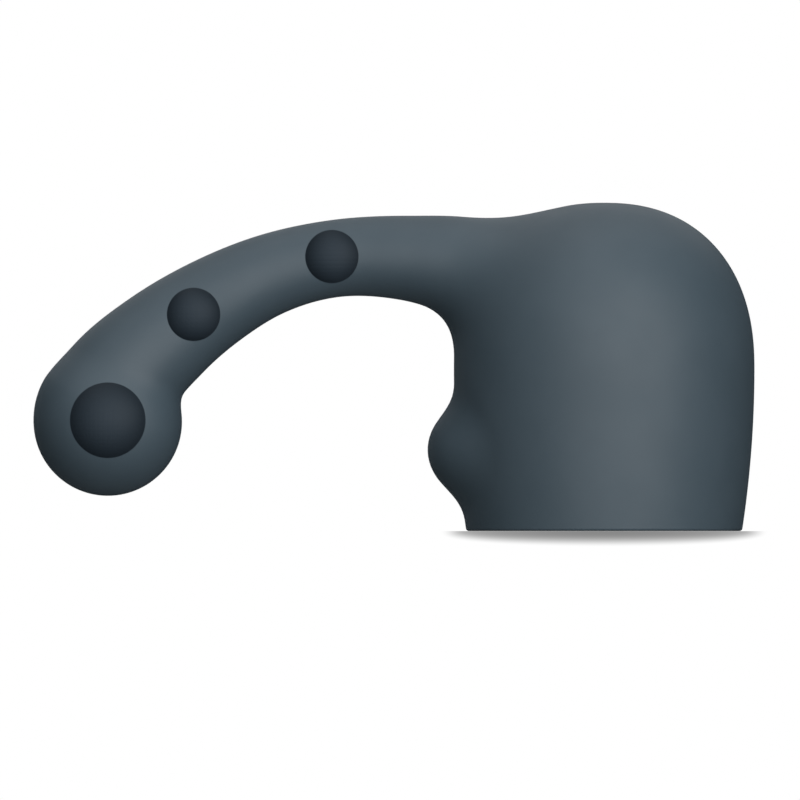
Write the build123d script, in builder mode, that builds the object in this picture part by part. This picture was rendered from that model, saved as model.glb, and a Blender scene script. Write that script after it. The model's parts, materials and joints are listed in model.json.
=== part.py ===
"""Weighted slip-on head for a full-size wand massager, in millimetres.

A thick silicone cup stretches over the massager's head. A curved arm grows out of the side of
its dome and ends in a bulb, and a small nub stands on the cup's wall under the arm. Three steel
balls are cast into the arm and the bulb.

Frame: the origin is the centre of the cup's mouth, +Z runs up the cup's axis, and the arm
points along -X. The object is mirrored across the XZ plane.
"""

import os
from math import asin, cos, degrees, radians, sin

from build123d import *

# Cup, turned about +Z: a slightly barrelled wall under a full, blunt dome.
MOUTH_OUTER_R = 31.0
WAIST_R = 33.8
WAIST_Z = 36.0
DOME_TOP_Z = 73.8
DOME_POWER = 2.32
BASE_EDGE_R = 0.6

# Inside of the cup: a collar that grips under the massager's head, and a chamber for the head.
COLLAR_R = 27.0
COLLAR_LENGTH = 10.0
CHAMBER_MOUTH_Z = 17.0
WALL = 4.3
CHAMBER_TOP_Z = 65.0
CHAMBER_POWER = 2.4

# Nub on the wall, under the arm: a flattened ball, round from above, with its radius from above
# and half its height.
NUB_R = 18.0
NUB_HALF_HEIGHT = 13.3
NUB_X = -21.6
NUB_Z = 18.2
NUB_FILLET_R = 4.0

# Arm: round sections along one arc that lies in the XZ plane. An angle on the arc is measured
# from its highest point, and grows towards the bulb. Each section has its angle, its radius and
# how far its centre lies outside the arc: the arm swells outwards as it runs into the bulb.
ARC_R = 66.3
ARC_X = -52.0
ARC_Z = -4.5
ARM_SECTIONS = (
    (60.0, 14.0, 1.9),
    (50.0, 12.4, 1.5),
    (38.0, 10.8, 0.2),
    (24.0, 9.4, -0.2),
    (10.0, 8.7, 0.0),
    (-2.0, 9.0, 0.0),
    (-12.0, 10.4, 0.0),
    (-19.0, 13.2, 0.0),
    (-25.0, 17.0, 0.0),
    (-31.0, 18.0, 0.0),
)

# Bulb at the arm's end.
BULB_R = 16.7
BULB_X = -111.6
BULB_Z = 24.6

# Balls cast into the arm: name, radius, x and z.
WEIGHTS = (
    ("tip_weight", 8.5, -111.6, 24.9),
    ("middle_weight", 6.0, -92.3, 48.7),
    ("upper_weight", 6.0, -61.2, 61.7),
)

# Soft corners where the arm runs into the dome and into the bulb.
ROOT_FILLET_R = 5.0
NECK_FILLET_R = 4.0

# Where the arm bends: a round knuckle about the Y axis, longer than the arm is wide, and the gap
# that divides the arm's silicone round it.
BEND_X = -48.0
KNUCKLE_R = 10.6
KNUCKLE_LENGTH = 40.0
KNUCKLE_GAP = 0.3

# Half the size of a block that is larger than the whole object.
REACH = 100.0


def arc_point(angle, outward=0.0):
    """A point on the arm's arc, or that far outside it, as x and z."""
    reach = ARC_R + outward
    return (ARC_X - reach * sin(radians(angle)), ARC_Z + reach * cos(radians(angle)))


def arc_plane(angle, outward=0.0):
    """The plane across the arm at that angle, facing along the arm towards the bulb."""
    x, z = arc_point(angle, outward)
    along = (-cos(radians(angle)), 0, -sin(radians(angle)))
    return Plane(origin=(x, 0, z), x_dir=(0, 1, 0), z_dir=along)


def dome_points(radius, low_z, top_z, power, count=9):
    """Points on a quarter of a superellipse, from its side up to its top, as r and z."""
    points = []
    for step in range(count):
        turn = radians(90.0 * step / (count - 1))
        across = max(cos(turn), 0.0) ** (2 / power)
        up = sin(turn) ** (2 / power)
        points.append((radius * across, low_z + (top_z - low_z) * up))
    return points


BEND_ANGLE = degrees(asin((ARC_X - BEND_X) / ARC_R))
BEND_Z = arc_point(BEND_ANGLE)[1]
CHAMBER_R = WAIST_R - WALL

# The cup's outside, from the axis out along the base and up to the top of the dome.
with BuildPart() as cup_form:
    with BuildSketch(Plane.XZ):
        with BuildLine():
            base = Line((0, 0), (MOUTH_OUTER_R, 0))
            wall = TangentArc((WAIST_R, WAIST_Z), (MOUTH_OUTER_R, 0), tangent=(0, -1))
            dome = Spline(
                dome_points(WAIST_R, WAIST_Z, DOME_TOP_Z, DOME_POWER),
                tangents=[(0, 1), (-1, 0)],
            )
            axis_line = Line(dome @ 1, (0, 0))
        make_face()
    revolve(axis=Axis.Z)

# The hollow: the collar's bore, a flare behind it and a domed chamber.
with BuildPart() as hollow_form:
    with BuildSketch(Plane.XZ):
        with BuildLine():
            mouth = Line((0, 0), (COLLAR_R, 0))
            collar = Line(mouth @ 1, (COLLAR_R, COLLAR_LENGTH))
            flare = Spline(
                [collar @ 1, (CHAMBER_R, CHAMBER_MOUTH_Z)],
                tangents=[(0.4, 1), (0.05, 1)],
            )
            side = ThreePointArc(
                (CHAMBER_R, CHAMBER_MOUTH_Z),
                (CHAMBER_R + 0.2, (CHAMBER_MOUTH_Z + WAIST_Z) / 2),
                (CHAMBER_R, WAIST_Z),
            )
            roof = Spline(
                dome_points(CHAMBER_R, WAIST_Z, CHAMBER_TOP_Z, CHAMBER_POWER),
                tangents=[(0, 1), (-1, 0)],
            )
            centre = Line(roof @ 1, (0, 0))
        make_face()
    revolve(axis=Axis.Z)

# The arm's round sections, lofted from the bulb into the dome.
with BuildPart() as arm_form:
    for angle, radius, outward in ARM_SECTIONS:
        with BuildSketch(arc_plane(angle, outward)):
            Circle(radius)
    loft()

# The nub's flattened ball, turned about its own upright axis.
with BuildPart() as nub_form:
    with BuildSketch(Plane(origin=(NUB_X, 0, NUB_Z), x_dir=(1, 0, 0), z_dir=(0, -1, 0))):
        Ellipse(NUB_R, NUB_HALF_HEIGHT)
        with Locations((-NUB_R, 0)):
            Rectangle(2 * NUB_R, 3 * NUB_HALF_HEIGHT, mode=Mode.SUBTRACT)
    revolve(axis=Axis((NUB_X, 0, NUB_Z), (0, 0, 1)))

# Everything on the cup's side of the bend, outside the knuckle: what the arm gives up.
with BuildPart() as cup_side:
    with BuildSketch(arc_plane(BEND_ANGLE)):
        Rectangle(2 * REACH, 2 * REACH)
    extrude(amount=-REACH)
    with Locations((BEND_X, 0, BEND_Z)):
        Cylinder(KNUCKLE_R, KNUCKLE_LENGTH, rotation=(90, 0, 0), mode=Mode.SUBTRACT)

# Everything on the bulb's side of the bend, and the knuckle with its gap: what the cap gives up.
with BuildPart() as bulb_side:
    with BuildSketch(arc_plane(BEND_ANGLE)):
        Rectangle(2 * REACH, 2 * REACH)
    extrude(amount=REACH)
    with Locations((BEND_X, 0, BEND_Z)):
        Cylinder(KNUCKLE_R + KNUCKLE_GAP, KNUCKLE_LENGTH, rotation=(90, 0, 0))

# Silicone cap: cup, nub and the arm's root, with a cupped seat for the knuckle.
with BuildPart() as silicone_cap:
    add(cup_form.part)
    base_edge = silicone_cap.edges().filter_by(GeomType.CIRCLE).group_by(Axis.Z)[0]
    fillet(base_edge, radius=BASE_EDGE_R)
    add(nub_form.part)
    nub_seam = silicone_cap.edges(Select.LAST)
    fillet(nub_seam, radius=NUB_FILLET_R)
    add(arm_form.part)
    root_seam = silicone_cap.edges(Select.LAST)
    fillet(root_seam, radius=ROOT_FILLET_R)
    add(bulb_side.part, mode=Mode.SUBTRACT)
    add(hollow_form.part, mode=Mode.SUBTRACT)
silicone_cap.part.label = "silicone_cap"

# Silicone arm: the rest of the arm and the bulb, with a closed pocket round each ball.
with BuildPart() as silicone_arm:
    add(arm_form.part)
    with Locations((BULB_X, 0, BULB_Z)):
        Sphere(BULB_R)
    neck_seam = silicone_arm.edges(Select.LAST)
    fillet(neck_seam, radius=NECK_FILLET_R)
    add(cup_side.part, mode=Mode.SUBTRACT)
    for name, radius, x, z in WEIGHTS:
        with Locations((x, 0, z)):
            Sphere(radius, mode=Mode.SUBTRACT)
silicone_arm.part.label = "silicone_arm"

os.makedirs("parts", exist_ok=True)
export_step(silicone_cap.part, "parts/silicone_cap.step")
export_step(silicone_arm.part, "parts/silicone_arm.step")

# The three steel balls.
for name, radius, x, z in WEIGHTS:
    with BuildPart() as ball:
        with Locations((x, 0, z)):
            Sphere(radius)
    ball.part.label = name
    export_step(ball.part, f"parts/{name}.step")

for form in (silicone_cap, silicone_arm):
    volume_cm3 = form.part.volume / 1000
    print(form.part.label, len(form.part.solids()), "solid,", round(volume_cm3, 2), "cm3")
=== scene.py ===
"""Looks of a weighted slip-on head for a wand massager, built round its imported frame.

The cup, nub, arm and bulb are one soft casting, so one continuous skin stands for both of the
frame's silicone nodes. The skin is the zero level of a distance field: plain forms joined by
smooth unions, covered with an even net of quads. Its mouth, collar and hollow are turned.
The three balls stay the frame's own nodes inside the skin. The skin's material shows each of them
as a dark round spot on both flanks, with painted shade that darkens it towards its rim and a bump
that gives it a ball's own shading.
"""

import json
import math

import bpy
import numpy as np
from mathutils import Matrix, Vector


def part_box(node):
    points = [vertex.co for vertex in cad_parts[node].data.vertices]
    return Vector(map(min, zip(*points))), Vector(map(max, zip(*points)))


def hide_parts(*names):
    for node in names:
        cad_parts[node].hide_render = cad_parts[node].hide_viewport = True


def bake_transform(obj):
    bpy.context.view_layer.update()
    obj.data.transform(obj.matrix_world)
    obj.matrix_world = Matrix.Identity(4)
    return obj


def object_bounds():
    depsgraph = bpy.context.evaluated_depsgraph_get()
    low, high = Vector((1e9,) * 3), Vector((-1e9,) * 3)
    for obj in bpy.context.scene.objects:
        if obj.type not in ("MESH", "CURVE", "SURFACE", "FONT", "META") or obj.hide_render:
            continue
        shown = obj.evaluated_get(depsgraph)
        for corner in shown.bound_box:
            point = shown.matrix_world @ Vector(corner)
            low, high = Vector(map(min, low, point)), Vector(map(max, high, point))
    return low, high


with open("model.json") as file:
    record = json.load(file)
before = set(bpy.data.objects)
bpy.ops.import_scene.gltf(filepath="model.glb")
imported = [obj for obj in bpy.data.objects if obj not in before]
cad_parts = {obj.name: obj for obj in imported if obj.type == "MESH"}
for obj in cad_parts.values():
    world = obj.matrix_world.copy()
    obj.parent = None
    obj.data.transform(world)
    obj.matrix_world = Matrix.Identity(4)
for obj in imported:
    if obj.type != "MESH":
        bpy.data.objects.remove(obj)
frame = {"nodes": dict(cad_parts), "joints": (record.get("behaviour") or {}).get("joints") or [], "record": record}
cad_low, cad_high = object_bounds()

MM = 0.001

# Places and sizes that the frame gives, in millimetres.
CAP_HIGH = np.array(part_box("silicone_cap")[1]) / MM
ARM_LOW, ARM_HIGH = (np.array(corner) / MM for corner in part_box("silicone_arm"))
WAIST_R = CAP_HIGH[1]
DOME_TOP_Z = CAP_HIGH[2]
BULB_R = ARM_HIGH[1]
BULB = (ARM_LOW[0] + BULB_R, ARM_LOW[2] + BULB_R)
SOCKET = next(m for m in frame["record"]["mounts"] if m["name"] == "wand_socket")
COLLAR_R = SOCKET["dims"]["r_mm"]
COLLAR_LENGTH = SOCKET["dims"]["length_mm"]
HINGE = np.array(frame["joints"][0]["pos_m"]) / MM
WEIGHT_NAMES = ("tip_weight", "middle_weight", "upper_weight")

# Cup: a barrelled wall under a blunt dome.
MOUTH_OUTER_R = 31.0
WAIST_Z = 36.5
DOME_POWER = 2.28
LIP_R = 0.7

# Hollow of the cup, behind its collar.
CHAMBER_R = 29.5
CHAMBER_MOUTH_Z = 17.0
CHAMBER_WAIST_Z = 36.0
CHAMBER_TOP_Z = 65.0
CHAMBER_POWER = 2.4

# Nub on the wall: a flattened ball, with its centre's x and z, radius from above and half height.
NUB = (-21.6, 18.25)
NUB_R = 18.1
NUB_HALF_HEIGHT = 13.45

# Arm: round sections along one arc in the XZ plane. Angles are measured from the arc's highest
# point and grow towards the bulb. Each section has its angle, radius, distance outside the arc,
# and how much wider than high it is: the arm spreads where it runs into the cup.
ARC_CENTRE = (-52.0, -4.5)
ARC_R = 66.3
ARM_SECTIONS = (
    (-35, 10.4, 2.7, 1.35),
    (-20, 11.4, 1.1, 1.2),
    (-6, 9.5, 0.0, 1.1),
    (8, 8.7, 0.0, 1.0),
    (20, 9.15, 0.0, 1.0),
    (32, 10.3, 0.0, 1.0),
    (44, 11.75, 0.8, 1.0),
    (54, 13.2, 1.9, 1.0),
    (62, 15.2, 1.4, 1.0),
)
ARM_ROOT_ANGLE = -60

# How far each smooth union reaches.
ROOT_BLEND = 9.5
NUB_BLEND = 4.4
NECK_BLEND = 2.0

# Net of quads over the skin: its step, the height where it ends above the mouth, and how often it
# is evened out. Below that height the skin is turned, and its first rings have these heights.
NET_STEP = 1.1
NET_CUT_Z = 2.4
RELAX_ROUNDS = 8
TURNED_SIDES = 240
OUTER_RING_HEIGHTS = (1.6, 1.15)

# A distance along the arm on each side of the hinge; the arm's direction at the hinge is scaled to it.
BEND_REACH = 16.0

# Silicone's two tones and the size of their mottling, the size of its fine grain and of its
# smudges, and the parting line's half width at its foot and at its top.
SILICONE_DARK = (0.076, 0.112, 0.139, 1)
SILICONE_LIGHT = (0.082, 0.119, 0.147, 1)
MOTTLE_SIZE = 14.0
GRAIN_SIZE = 0.35
SMUDGE_SIZE = 9.0
PARTING_FOOT = 0.30
PARTING_TOP = 0.12

# A ball seen through the silicone: its colour at the middle of the spot, which painted shade darkens
# towards the rim as on a lit ball, how strong the gloss over it is, how much flatter than the ball it
# looks, and half the width of its soft edge.
BALL_COLOUR = (0.034, 0.050, 0.067)
BALL_GLOSS = 0.15
BALL_FLATTENING = 1.5
BALL_EDGE = 0.12

# Steel's two tones, and the sizes of its tarnish and of its pits.
STEEL_DARK = (0.040, 0.049, 0.054, 1)
STEEL_LIGHT = (0.052, 0.063, 0.069, 1)
TARNISH_SIZE = 3.0
PIT_SIZE = 0.3

# Contact shadow on the floor round the cup: its width, how far below the cup's mouth the floor lies
# so that the two don't coincide, how far it drops in front over the shadow's width, and how dark the
# shadow is at the cup's sides and in front of it.
SHADOW_WIDTH = 6.0
FLOOR_GAP = 0.02
FLOOR_DROP = 3.6
SIDE_SHADE = 0.56
FRONT_SHADE = 0.75

# Floor's mesh: rings, sides, and how far it goes on in shadow widths.
FLOOR_RINGS = 34
FLOOR_SIDES = 192
FLOOR_REACH = 1.21

# Suns: name, azimuth (0 is the camera's side, 90 is +X), elevation, strength, softness in degrees,
# and whether they show in reflections.
SUNS = (
    ("front_light", 12, 10, 1.30, 85, True),
    ("front_right_light", 35, 15, 0.80, 60, True),
    ("front_left_light", -20, 10, 0.22, 60, True),
    ("top_light", 0, 80, 0.36, 60, True),
    ("top_left_light", -50, 60, 0.26, 60, True),
    ("back_light", 180, 52, 0.56, 75, True),
    ("rear_fill", 190, 8, 1.9, 60, False),
    ("under_fill", 180, -45, 0.4, 60, False),
)

# A faint light inside the cup, so that its hollow shows from below: height, radius and watts.
HOLLOW_FILL_Z = 42.0
HOLLOW_FILL_R = 12.0
HOLLOW_FILL_POWER = 0.0035

# What the camera sees: its width, the x and z of its middle, and the camera's distance.
VIEW_WIDTH = 179.84
VIEW_MIDDLE = (-45.9, 29.45)
CAMERA_DISTANCE = 600.0

# The backdrop's radius, in metres.
BACKDROP_R = 5.0


# ---------------------------------------------------------------- the skin's distance field


def through(knots, values):
    """A smooth curve through the knots, level with its end values outside them."""
    knots, values = np.array(knots, float), np.array(values, float)
    slopes = np.gradient(values, knots)

    def at(t):
        t = np.clip(t, knots[0], knots[-1])
        i = np.clip(np.searchsorted(knots, t) - 1, 0, len(knots) - 2)
        width = knots[i + 1] - knots[i]
        u = (t - knots[i]) / width
        start = (1 + 2 * u) * (1 - u) ** 2 * values[i] + u * (1 - u) ** 2 * width * slopes[i]
        end = u * u * (3 - 2 * u) * values[i + 1] + u * u * (u - 1) * width * slopes[i + 1]
        return start + end

    return at


ANGLES, RADII, OUTWARD, SPREAD = zip(*ARM_SECTIONS)
arm_radius = through(ANGLES, RADII)
arm_outward = through(ANGLES, OUTWARD)
arm_spread = through(ANGLES, SPREAD)


def smooth_union(a, b, reach):
    """The nearer of two distances, eased where they are within reach of each other."""
    near = np.maximum(reach - np.abs(a - b), 0) / reach
    return np.minimum(a, b) - near * near * reach / 4


def superellipse_distance(r, z, radius, height, power):
    """Distance to a quarter superellipse that starts at (radius, 0) and ends at (0, height)."""
    u = np.maximum(r, 1e-6) / radius
    v = np.maximum(z, 1e-6) / height
    total = u**power + v**power
    level = total ** (1 / power) - 1
    slope = total ** (1 / power - 1)
    across = u ** (power - 1) * slope / radius
    up = v ** (power - 1) * slope / height
    return level / np.hypot(across, up)


WALL_BULGE = WAIST_R - MOUTH_OUTER_R
WALL_ARC_R = (WAIST_Z**2 + WALL_BULGE**2) / (2 * WALL_BULGE)
WALL_ARC_CENTRE_R = WAIST_R - WALL_ARC_R


def wall_radius(z):
    """The cup's outside radius at a height below its waist."""
    return WALL_ARC_CENTRE_R + math.sqrt(WALL_ARC_R**2 - (z - WAIST_Z) ** 2)


def cup_distance(x, y, z):
    r = np.hypot(x, y)
    wall = np.hypot(r - WALL_ARC_CENTRE_R, z - WAIST_Z) - WALL_ARC_R
    dome = superellipse_distance(r, z - WAIST_Z, WAIST_R, DOME_TOP_Z - WAIST_Z, DOME_POWER)
    return np.where(z < WAIST_Z, wall, dome)


def ball_distance(x, y, z, centre, radius):
    return np.sqrt((x - centre[0]) ** 2 + y**2 + (z - centre[1]) ** 2) - radius


def nub_distance(x, y, z):
    half = np.array([NUB_R, NUB_R, NUB_HALF_HEIGHT])
    place = np.stack([x - NUB[0], y, z - NUB[1]], axis=-1) / half
    level = np.sqrt((place**2).sum(-1))
    slope = np.sqrt(((place / half) ** 2).sum(-1))
    return level * (level - 1) / np.maximum(slope, 1e-6)


def arm_distance(x, y, z):
    dx, dz = x - ARC_CENTRE[0], z - ARC_CENTRE[1]
    angle = np.clip(np.degrees(np.arctan2(-dx, dz)), ARM_ROOT_ANGLE, ANGLES[-1])
    reach = ARC_R + arm_outward(angle)
    centre_x = ARC_CENTRE[0] - reach * np.sin(np.radians(angle))
    centre_z = ARC_CENTRE[1] + reach * np.cos(np.radians(angle))
    beside = y / arm_spread(angle)
    across = np.sqrt((x - centre_x) ** 2 + (z - centre_z) ** 2 + beside**2)
    return across - arm_radius(angle)


def body_distance(points):
    """Distance to the outside of the casting, negative inside, for points in millimetres."""
    x, y, z = points[..., 0], points[..., 1], points[..., 2]
    cup = smooth_union(cup_distance(x, y, z), nub_distance(x, y, z), NUB_BLEND)
    arm = smooth_union(arm_distance(x, y, z), ball_distance(x, y, z, BULB, BULB_R), NECK_BLEND)
    return smooth_union(cup, arm, ROOT_BLEND)


def gradient(points, reach=0.02):
    """The field's slope at each point, by central differences."""
    slopes = []
    for axis in np.eye(3) * reach:
        slopes.append((body_distance(points + axis) - body_distance(points - axis)) / (2 * reach))
    return np.stack(slopes, axis=-1)


def onto_surface(points, rounds=3):
    for _ in range(rounds):
        slope = gradient(points)
        steep = np.maximum((slope**2).sum(-1), 1e-6)
        points = points - slope * (body_distance(points) / steep)[:, None]
    return points


# ---------------------------------------------------------------- the skin's mesh


def surface_net(low, high, step):
    """An even net of quads over the field's zero level inside a box: points and faces."""
    ticks = [np.arange(a, b + step, step) for a, b in zip(low, high)]
    lattice = np.stack(np.meshgrid(*ticks, indexing="ij"), axis=-1)
    value = body_distance(lattice)
    inside = value < 0
    cells = tuple(n - 1 for n in value.shape)
    corners = [(i, j, k) for i in (0, 1) for j in (0, 1) for k in (0, 1)]

    def shifted(array, corner):
        return array[tuple(slice(c, c + n) for c, n in zip(corner, cells))]

    count = sum(shifted(inside, c).astype(int) for c in corners)
    active = np.argwhere((count > 0) & (count < 8))
    number = np.full(cells, -1)
    number[tuple(active.T)] = np.arange(len(active))

    total = np.zeros((len(active), 3))
    hits = np.zeros(len(active))
    for a in corners:
        for axis in range(3):
            if a[axis]:
                continue
            b = tuple(c + (n == axis) for n, c in enumerate(a))
            value_a = value[tuple((active + a).T)]
            value_b = value[tuple((active + b).T)]
            crossed = (value_a < 0) != (value_b < 0)
            share = np.where(crossed, value_a / np.where(crossed, value_a - value_b, 1), 0)
            spot = np.array(a, float) + share[:, None] * np.eye(3)[axis]
            total[crossed] += spot[crossed]
            hits += crossed
    points = np.array(low) + (active + total / hits[:, None]) * step

    faces = []
    for axis in range(3):
        side, other = (axis + 1) % 3, (axis + 2) % 3
        ahead = np.roll(inside, -1, axis)
        edges = np.argwhere(inside != ahead)
        fits = (edges[:, axis] < cells[axis]) & (edges[:, side] > 0) & (edges[:, other] > 0)
        fits &= (edges[:, side] < cells[side]) & (edges[:, other] < cells[other])
        edges = edges[fits]
        back_side, back_other = np.eye(3, dtype=int)[side], np.eye(3, dtype=int)[other]
        ring = [edges, edges - back_side, edges - back_side - back_other, edges - back_other]
        quads = np.stack([number[tuple(cell.T)] for cell in ring], axis=1)
        leaving = inside[tuple(edges.T)]
        quads[~leaving] = quads[~leaving][:, ::-1]
        faces.append(quads)
    return points, np.concatenate(faces)


def relaxed(points, faces, held, rounds):
    """Evens out the net along the surface; held points stay."""
    links = np.concatenate([faces[:, [n, (n + 1) % 4]] for n in range(4)])
    links = np.concatenate([links, links[:, ::-1]])
    count = np.bincount(links[:, 0], minlength=len(points))[:, None]
    for _ in range(rounds):
        mean = np.zeros_like(points)
        np.add.at(mean, links[:, 0], points[links[:, 1]])
        moved = onto_surface(0.5 * points + 0.5 * mean / count, rounds=2)
        points = np.where(held[:, None], points, moved)
    return points


def superellipse_points(radius, low_z, top_z, power, count):
    """Points from (radius, low_z) up to the axis, evenly spread in angle."""
    turn = np.linspace(0, math.pi / 2, count)
    across = np.maximum(np.cos(turn), 0) ** (2 / power)
    up = np.sin(turn) ** (2 / power)
    return [(radius * a, low_z + (top_z - low_z) * u) for a, u in zip(across, up)]


def arc_points(centre, radius, start, end, count):
    turn = np.radians(np.linspace(start, end, count))
    return [(centre[0] + radius * math.cos(t), centre[1] + radius * math.sin(t)) for t in turn]


def inner_profile():
    """The turned part in section, as r and z: from the wall's outside, round the lip, and up
    through the collar and the chamber to just below the chamber's top."""
    outer_r = wall_radius(LIP_R)
    profile = [(wall_radius(z), z) for z in OUTER_RING_HEIGHTS]
    profile += arc_points((outer_r - LIP_R, LIP_R), LIP_R, 0, -90, 8)
    profile += [(r, 0.0) for r in np.linspace(outer_r - LIP_R, COLLAR_R + LIP_R, 4)[1:-1]]
    profile += arc_points((COLLAR_R + LIP_R, LIP_R), LIP_R, -90, -180, 8)
    profile += [(COLLAR_R, z) for z in np.linspace(2.0, COLLAR_LENGTH - 1.0, 6)]
    for share in np.linspace(0, 1, 14):
        z = COLLAR_LENGTH + (CHAMBER_MOUTH_Z - COLLAR_LENGTH) * share
        profile.append((COLLAR_R + (CHAMBER_R - COLLAR_R) * share * share * (3 - 2 * share), z))
    profile += [(CHAMBER_R, z) for z in np.linspace(CHAMBER_MOUTH_Z, CHAMBER_WAIST_Z, 12)[1:-1]]
    dome = superellipse_points(CHAMBER_R, CHAMBER_WAIST_Z, CHAMBER_TOP_Z, CHAMBER_POWER, 44)
    return profile + dome[:-1]


def turned(profile, sides, top_z):
    """The profile turned about Z and closed by one point at its top: points and faces."""
    turn = np.linspace(0, 2 * math.pi, sides, endpoint=False)
    rings = [np.stack([r * np.cos(turn), r * np.sin(turn), np.full(sides, z)], 1) for r, z in profile]
    points = np.concatenate([*rings, [[0.0, 0.0, top_z]]])
    along = np.arange(sides)
    beside = (along + 1) % sides
    faces = []
    for row in range(len(profile) - 1):
        low, high = row * sides, (row + 1) * sides
        faces += np.stack([low + along, high + along, high + beside, low + beside], 1).tolist()
    last = (len(profile) - 1) * sides
    faces += [[last + a, len(points) - 1, last + b] for a, b in zip(along, beside)]
    return points, faces


def zipped(upper, lower, points):
    """Triangles between two rings of point numbers round the Z axis."""

    def by_angle(ring):
        angle = np.arctan2(points[ring, 1], points[ring, 0])
        order = np.argsort(angle)
        return np.array(ring)[order], angle[order]

    (ring_a, angle_a), (ring_b, angle_b) = by_angle(upper), by_angle(lower)
    faces, i, j = [], 0, 0
    count_a, count_b = len(ring_a), len(ring_b)
    while i < count_a or j < count_b:
        next_a = angle_a[(i + 1) % count_a] + 2 * math.pi * ((i + 1) // count_a)
        next_b = angle_b[(j + 1) % count_b] + 2 * math.pi * ((j + 1) // count_b)
        a, b = ring_a[i % count_a], ring_b[j % count_b]
        if j >= count_b or (i < count_a and next_a < next_b):
            faces.append([int(a), int(b), int(ring_a[(i + 1) % count_a])])
            i += 1
        else:
            faces.append([int(a), int(b), int(ring_b[(j + 1) % count_b])])
            j += 1
    return faces


def skin_mesh():
    margin = 2.5 * NET_STEP
    low = np.array([cad_low[0] / MM - margin, cad_low[1] / MM - margin, 0.0])
    low[2] = NET_CUT_Z - 1.5 * NET_STEP
    high = np.array(cad_high) / MM + margin
    points, faces = surface_net(low, high, NET_STEP)
    kept = (points[faces][:, :, 2] > NET_CUT_Z - 0.5 * NET_STEP).all(1)
    faces = faces[kept]
    used, renumbered = np.unique(faces, return_inverse=True)
    points, faces = points[used], renumbered.reshape(faces.shape)

    links = np.concatenate([faces[:, [n, (n + 1) % 4]] for n in range(4)])
    links = np.sort(links, axis=1)
    unique, times = np.unique(links, axis=0, return_counts=True)
    rim = np.unique(unique[times == 1])
    rim = rim[points[rim, 2] < NET_CUT_Z + NET_STEP]
    points = onto_surface(points)
    rim_turn = np.arctan2(points[rim, 1], points[rim, 0])
    rim_r = wall_radius(NET_CUT_Z)
    rim_z = np.full(len(rim), NET_CUT_Z)
    points[rim] = np.stack([rim_r * np.cos(rim_turn), rim_r * np.sin(rim_turn), rim_z], axis=1)
    held = np.zeros(len(points), bool)
    held[rim] = True
    points = relaxed(points, faces, held, RELAX_ROUNDS)

    turned_points, turned_faces = turned(inner_profile(), TURNED_SIDES, CHAMBER_TOP_Z)
    first = len(points)
    points = np.concatenate([points, turned_points])
    faces = faces.tolist() + [[n + first for n in f] for f in turned_faces]
    faces += zipped(rim, np.arange(first, first + TURNED_SIDES), points)

    mesh = bpy.data.meshes.new("silicone_skin")
    mesh.from_pydata((points * MM).tolist(), [], faces)
    mesh.polygons.foreach_set("use_smooth", [True] * len(mesh.polygons))
    rest = mesh.attributes.new("rest_place", "FLOAT_VECTOR", "POINT")
    rest.data.foreach_set("vector", (points * MM).astype(np.float32).ravel())
    return mesh


# ---------------------------------------------------------------- materials


def new_material(name):
    material = bpy.data.materials.new(name)
    material.use_nodes = True
    tree = material.node_tree
    tree.nodes.clear()
    return material, tree


def add_node(tree, kind, inputs=(), **settings):
    """A new node with its own settings and the values or sockets given for its inputs."""
    made = tree.nodes.new(kind)
    for name, value in settings.items():
        setattr(made, name, value)
    for name, value in dict(inputs).items():
        if isinstance(value, bpy.types.NodeSocket):
            tree.links.new(value, made.inputs[name])
        else:
            made.inputs[name].default_value = value
    return made


def math_node(tree, operation, a, b=0.0):
    return add_node(tree, "ShaderNodeMath", {0: a, 1: b}, operation=operation).outputs[0]


def sum_of_squares(tree, a, b):
    return math_node(tree, "ADD", math_node(tree, "MULTIPLY", a, a), math_node(tree, "MULTIPLY", b, b))


def ramp(tree, value, low, high):
    """From 0 at low to 1 at high, eased at both ends."""
    inputs = {"Value": value, "From Min": low, "From Max": high}
    kind = "ShaderNodeMapRange"
    return add_node(tree, kind, inputs, interpolation_type="SMOOTHSTEP").outputs[0]


def noise(tree, place, grain, detail=2.0):
    """Noise whose grains are about that size in metres."""
    inputs = {"Vector": place, "Scale": 1.0 / grain, "Detail": detail}
    return add_node(tree, "ShaderNodeTexNoise", inputs).outputs[0]


def seen_ball(tree, apart, centre, radius):
    """Where a ball shows through either flank, its colour there with painted shade that darkens it
    towards the rim, and a normal that is its own.
    """
    x = math_node(tree, "SUBTRACT", apart.outputs["X"], centre.x)
    z = math_node(tree, "SUBTRACT", apart.outputs["Z"], centre.z)
    squares = sum_of_squares(tree, x, z)
    off_centre = math_node(tree, "SQRT", squares)
    inside = ramp(tree, off_centre, radius + BALL_EDGE * MM, radius - BALL_EDGE * MM)

    # Painted shade: the ball's colour is full at the spot's centre and falls to a little over half at its rim, as
    # a lit ball looks.
    dome_squares = (BALL_FLATTENING * radius) ** 2
    room = math_node(tree, "MAXIMUM", math_node(tree, "SUBTRACT", dome_squares, squares), 0.0)
    shaded = {0: BALL_COLOUR, "Scale": math_node(tree, "DIVIDE", room, dome_squares)}
    colour = add_node(tree, "ShaderNodeVectorMath", shaded, operation="SCALE").outputs[0]

    flank = math_node(tree, "ABSOLUTE", apart.outputs["Y"])
    height = math_node(tree, "SUBTRACT", math_node(tree, "SQRT", room), flank)
    bump = add_node(tree, "ShaderNodeBump", {"Height": height, "Strength": 1.0, "Distance": 1.0})
    return inside, colour, bump.outputs[0]


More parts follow.
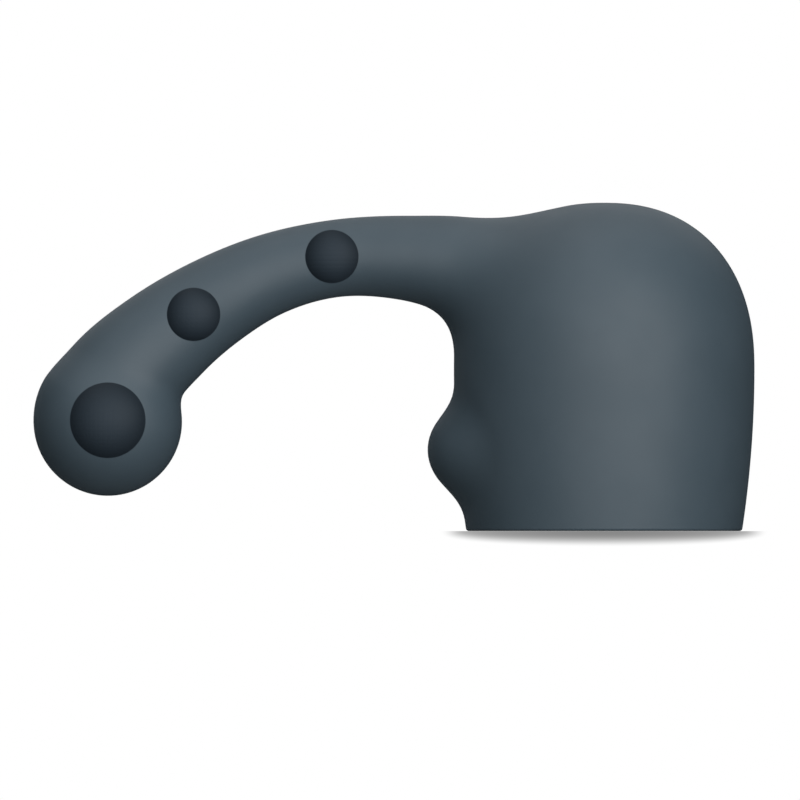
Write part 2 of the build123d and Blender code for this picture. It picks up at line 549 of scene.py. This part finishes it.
def silicone_material(balls):
    """Satin dark silicone: a fine moulded grain, a faint parting line and slight mottling. The
    balls show through its flanks as dark spots with painted shade towards their rims, each ball
    given by its centre and radius."""
    material, tree = new_material("satin_silicone")
    place = add_node(tree, "ShaderNodeAttribute", attribute_name="rest_place").outputs["Vector"]
    apart = add_node(tree, "ShaderNodeSeparateXYZ", {0: place})

    mottle = ramp(tree, noise(tree, place, MOTTLE_SIZE * MM, 3.0), 0.3, 0.7)
    tones = {"Factor": mottle, 6: SILICONE_DARK, 7: SILICONE_LIGHT}
    colour = add_node(tree, "ShaderNodeMix", tones, data_type="RGBA").outputs[2]

    grain = noise(tree, place, GRAIN_SIZE * MM)
    off_plane = math_node(tree, "ABSOLUTE", apart.outputs["Y"])
    parting = ramp(tree, off_plane, PARTING_FOOT * MM, PARTING_TOP * MM)
    height = math_node(tree, "ADD", math_node(tree, "MULTIPLY", grain, 0.25), parting)
    relief = {"Height": height, "Strength": 0.25, "Distance": 0.06 * MM}
    normal = add_node(tree, "ShaderNodeBump", relief).outputs[0]

    gloss = 0.5
    for centre, radius in balls:
        inside, ball_colour_and_painted_shade, ball_normal = seen_ball(tree, apart, centre, radius)
        colours = {"Factor": inside, 6: colour, 7: ball_colour_and_painted_shade}
        colour = add_node(tree, "ShaderNodeMix", colours, data_type="RGBA").outputs[2]
        normals = {"Factor": inside, 4: normal, 5: ball_normal}
        normal = add_node(tree, "ShaderNodeMix", normals, data_type="VECTOR").outputs[1]
        dulling = math_node(tree, "MULTIPLY", inside, 0.5 - BALL_GLOSS)
        gloss = math_node(tree, "SUBTRACT", gloss, dulling)

    smudge = ramp(tree, noise(tree, place, SMUDGE_SIZE * MM, 4.0), 0.35, 0.75)
    rough = math_node(tree, "ADD", math_node(tree, "MULTIPLY", smudge, 0.05), 0.50)

    inputs = {
        "Base Color": colour,
        "IOR": 1.55,
        "Specular IOR Level": gloss,
        "Roughness": rough,
        "Normal": normal,
    }
    surface = add_node(tree, "ShaderNodeBsdfPrincipled", inputs)
    add_node(tree, "ShaderNodeOutputMaterial", {"Surface": surface.outputs[0]})
    return material


def steel_material():
    """Dark satin steel: fine pits and faint tarnish."""
    material, tree = new_material("dark_satin_steel")
    place = add_node(tree, "ShaderNodeTexCoord").outputs["Object"]
    tarnish = ramp(tree, noise(tree, place, TARNISH_SIZE * MM, 4.0), 0.35, 0.7)
    tones = {"Factor": tarnish, 6: STEEL_DARK, 7: STEEL_LIGHT}
    colour = add_node(tree, "ShaderNodeMix", tones, data_type="RGBA").outputs[2]
    relief = {"Height": noise(tree, place, PIT_SIZE * MM), "Strength": 0.3, "Distance": 0.05 * MM}
    bump = add_node(tree, "ShaderNodeBump", relief).outputs[0]
    inputs = {"Base Color": colour, "Metallic": 1.0, "Roughness": 0.45, "Normal": bump}
    surface = add_node(tree, "ShaderNodeBsdfPrincipled", inputs)
    add_node(tree, "ShaderNodeOutputMaterial", {"Surface": surface.outputs[0]})
    return material


def floor_material():
    """White, with a soft contact shadow round the cup's mouth. It is clear from below."""
    material, tree = new_material("pale_floor")
    place = add_node(tree, "ShaderNodeTexCoord").outputs["Object"]
    apart = add_node(tree, "ShaderNodeSeparateXYZ", {0: place})
    x, y = apart.outputs["X"], apart.outputs["Y"]
    reach = math_node(tree, "SQRT", sum_of_squares(tree, x, y))
    near = ramp(tree, reach, (MOUTH_OUTER_R + SHADOW_WIDTH) * MM, MOUTH_OUTER_R * MM)
    in_front = math_node(tree, "MAXIMUM", math_node(tree, "MULTIPLY", y, -1.0), 0.0)
    facing = math_node(tree, "DIVIDE", in_front, reach)
    extra = math_node(tree, "MULTIPLY", facing, FRONT_SHADE - SIDE_SHADE)
    shade = math_node(tree, "MULTIPLY", near, math_node(tree, "ADD", extra, SIDE_SHADE))
    light = add_node(tree, "ShaderNodeEmission", {"Strength": math_node(tree, "SUBTRACT", 1.0, shade)})
    clear = add_node(tree, "ShaderNodeBsdfTransparent")
    below = add_node(tree, "ShaderNodeNewGeometry").outputs["Backfacing"]
    mixed = add_node(tree, "ShaderNodeMixShader", {0: below, 1: light.outputs[0], 2: clear.outputs[0]})
    add_node(tree, "ShaderNodeOutputMaterial", {"Surface": mixed.outputs[0]})
    return material


def backdrop_material():
    material, tree = new_material("white_backdrop")
    light = add_node(tree, "ShaderNodeEmission", {"Strength": 1.0})
    add_node(tree, "ShaderNodeOutputMaterial", {"Surface": light.outputs[0]})
    return material


# ---------------------------------------------------------------- the object


def add_object(name, data):
    made = bpy.data.objects.new(name, data)
    bpy.context.scene.collection.objects.link(made)
    return made


weights = []
for name in WEIGHT_NAMES:
    corner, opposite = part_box(name)
    weights.append(((corner + opposite) / 2, (opposite.x - corner.x) / 2))

skin = add_object("silicone_skin", skin_mesh())
skin.data.materials.append(silicone_material(weights))
along = np.array([-(HINGE[2] - ARC_CENTRE[1]), 0, HINGE[0] - ARC_CENTRE[0]])
along = along / np.linalg.norm(along) * BEND_REACH
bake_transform(skin)
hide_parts("silicone_cap", "silicone_arm")

steel = steel_material()
for name in WEIGHT_NAMES:
    ball = frame["nodes"][name]
    ball.data.materials.clear()
    ball.data.materials.append(steel)


# ---------------------------------------------------------------- studio


def add_sun(name, azimuth, elevation, strength, softness, in_reflections):
    a, e = math.radians(azimuth), math.radians(elevation)
    towards = Vector((math.sin(a) * math.cos(e), -math.cos(a) * math.cos(e), math.sin(e)))
    light = bpy.data.lights.new(name, "SUN")
    light.energy = strength
    light.angle = math.radians(softness)
    sun = add_object(name, light)
    sun.rotation_mode = "QUATERNION"
    sun.rotation_quaternion = towards.to_track_quat("Z", "Y")
    sun.visible_glossy = in_reflections


for sun_facts in SUNS:
    add_sun(*sun_facts)

hollow_data = bpy.data.lights.new("hollow_fill", "POINT")
hollow_data.energy = HOLLOW_FILL_POWER
hollow_data.shadow_soft_size = HOLLOW_FILL_R * MM
hollow_fill = add_object("hollow_fill", hollow_data)
hollow_fill.location = (0, 0, HOLLOW_FILL_Z * MM)
hollow_fill.visible_camera = False
hollow_fill.visible_glossy = False

world = bpy.data.worlds.new("studio")
bpy.context.scene.world = world
world.use_nodes = True
background = world.node_tree.nodes["Background"]
background.inputs["Color"].default_value = (1, 1, 1, 1)
background.inputs["Strength"].default_value = 0.01


def floor_mesh():
    """A round floor, as wide as the cup and its contact shadow. It is flat under and behind the
    cup. In front it drops past the cup's rim, so that a level camera sees the shadow on it."""
    shares = FLOOR_REACH * np.linspace(0, 1, FLOOR_RINGS) ** 2
    turn = np.linspace(0, 2 * math.pi, FLOOR_SIDES, endpoint=False)
    facing = np.maximum(-np.sin(turn), 0) ** 0.7
    points = [np.array([[0.0, 0.0, -FLOOR_GAP]])]
    for share in shares:
        r = MOUTH_OUTER_R + SHADOW_WIDTH * share
        drop = FLOOR_GAP + FLOOR_DROP * share ** 0.6 * facing
        points.append(np.stack([r * np.cos(turn), r * np.sin(turn), -drop], axis=1))
    along = np.arange(len(turn)) + 1
    beside = np.roll(along, -1)
    faces = np.stack([np.zeros_like(along), along, beside], axis=1).tolist()
    for ring in range(len(shares) - 1):
        low, high = ring * len(turn), (ring + 1) * len(turn)
        faces += np.stack([low + along, high + along, high + beside, low + beside], axis=1).tolist()
    mesh = bpy.data.meshes.new("floor")
    mesh.from_pydata((np.concatenate(points) * MM).tolist(), [], faces)
    mesh.polygons.foreach_set("use_smooth", [True] * len(mesh.polygons))
    return mesh


floor = add_object("floor", floor_mesh())
floor.data.materials.append(floor_material())

bpy.ops.mesh.primitive_uv_sphere_add(radius=BACKDROP_R, segments=64, ring_count=32)
backdrop = bpy.context.object
backdrop.name = "backdrop"
backdrop.data.materials.append(backdrop_material())
for piece in (floor, backdrop):
    for ray in ("diffuse", "glossy", "transmission", "shadow", "volume_scatter"):
        setattr(piece, "visible_" + ray, False)

camera_data = bpy.data.cameras.new("camera")
camera_data.type = "ORTHO"
camera_data.ortho_scale = VIEW_WIDTH * MM
camera_data.clip_end = 2 * BACKDROP_R
camera = add_object("camera", camera_data)
camera.location = (VIEW_MIDDLE[0] * MM, -CAMERA_DISTANCE * MM, VIEW_MIDDLE[1] * MM)
camera.rotation_euler = (math.radians(90), 0, 0)
bpy.context.scene.camera = camera
bpy.context.scene.view_settings.view_transform = "Standard"
